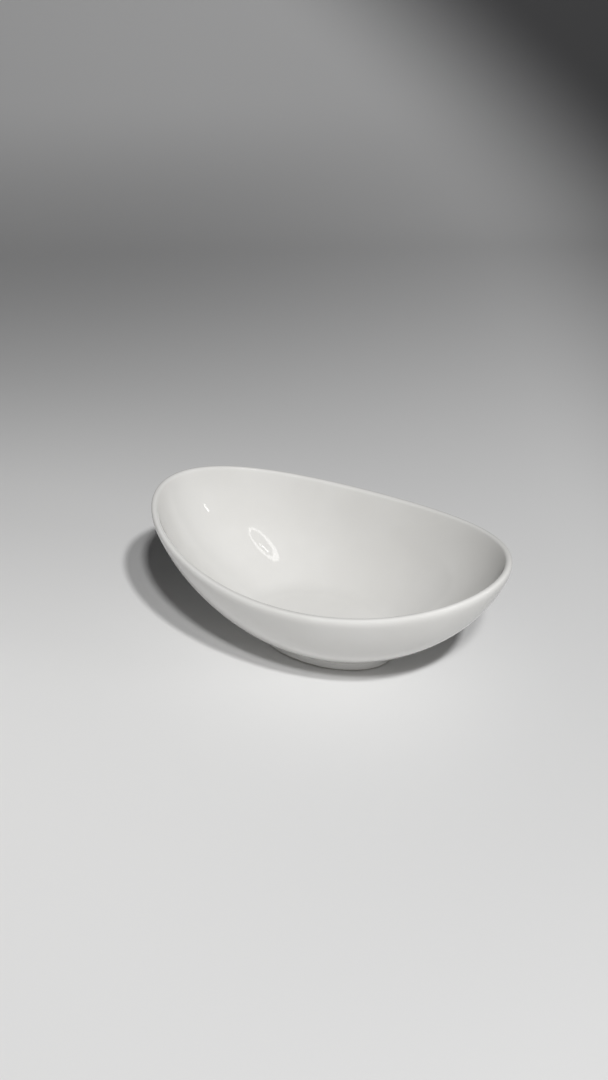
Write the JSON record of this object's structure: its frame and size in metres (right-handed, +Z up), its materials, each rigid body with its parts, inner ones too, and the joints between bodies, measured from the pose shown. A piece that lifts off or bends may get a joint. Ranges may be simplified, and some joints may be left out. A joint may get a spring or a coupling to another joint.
{
  "type": "oval deep plate",
  "caption": "Oval porcelain deep plate with a saddle-shaped round lip, raised ends, a flat floor and a low oval foot ring to stand on.",
  "frame": {"origin": "middle of the foot ring on the surface that the plate stands on", "axes": "+Z up, +X along the plate's length, +Y across it; the plate is the same on both sides of the XZ and YZ planes"},
  "size_m": [0.21, 0.13, 0.078],
  "materials": {
    "glazed_porcelain": "clear gloss glaze over white porcelain",
    "foot_porcelain": "gloss glaze on the sides, bare matt biscuit where it stands"
  },
  "bodies": {
    "root": {"plate_body": "glazed_porcelain", "foot_ring": "foot_porcelain"}
  },
  "joints": []
}
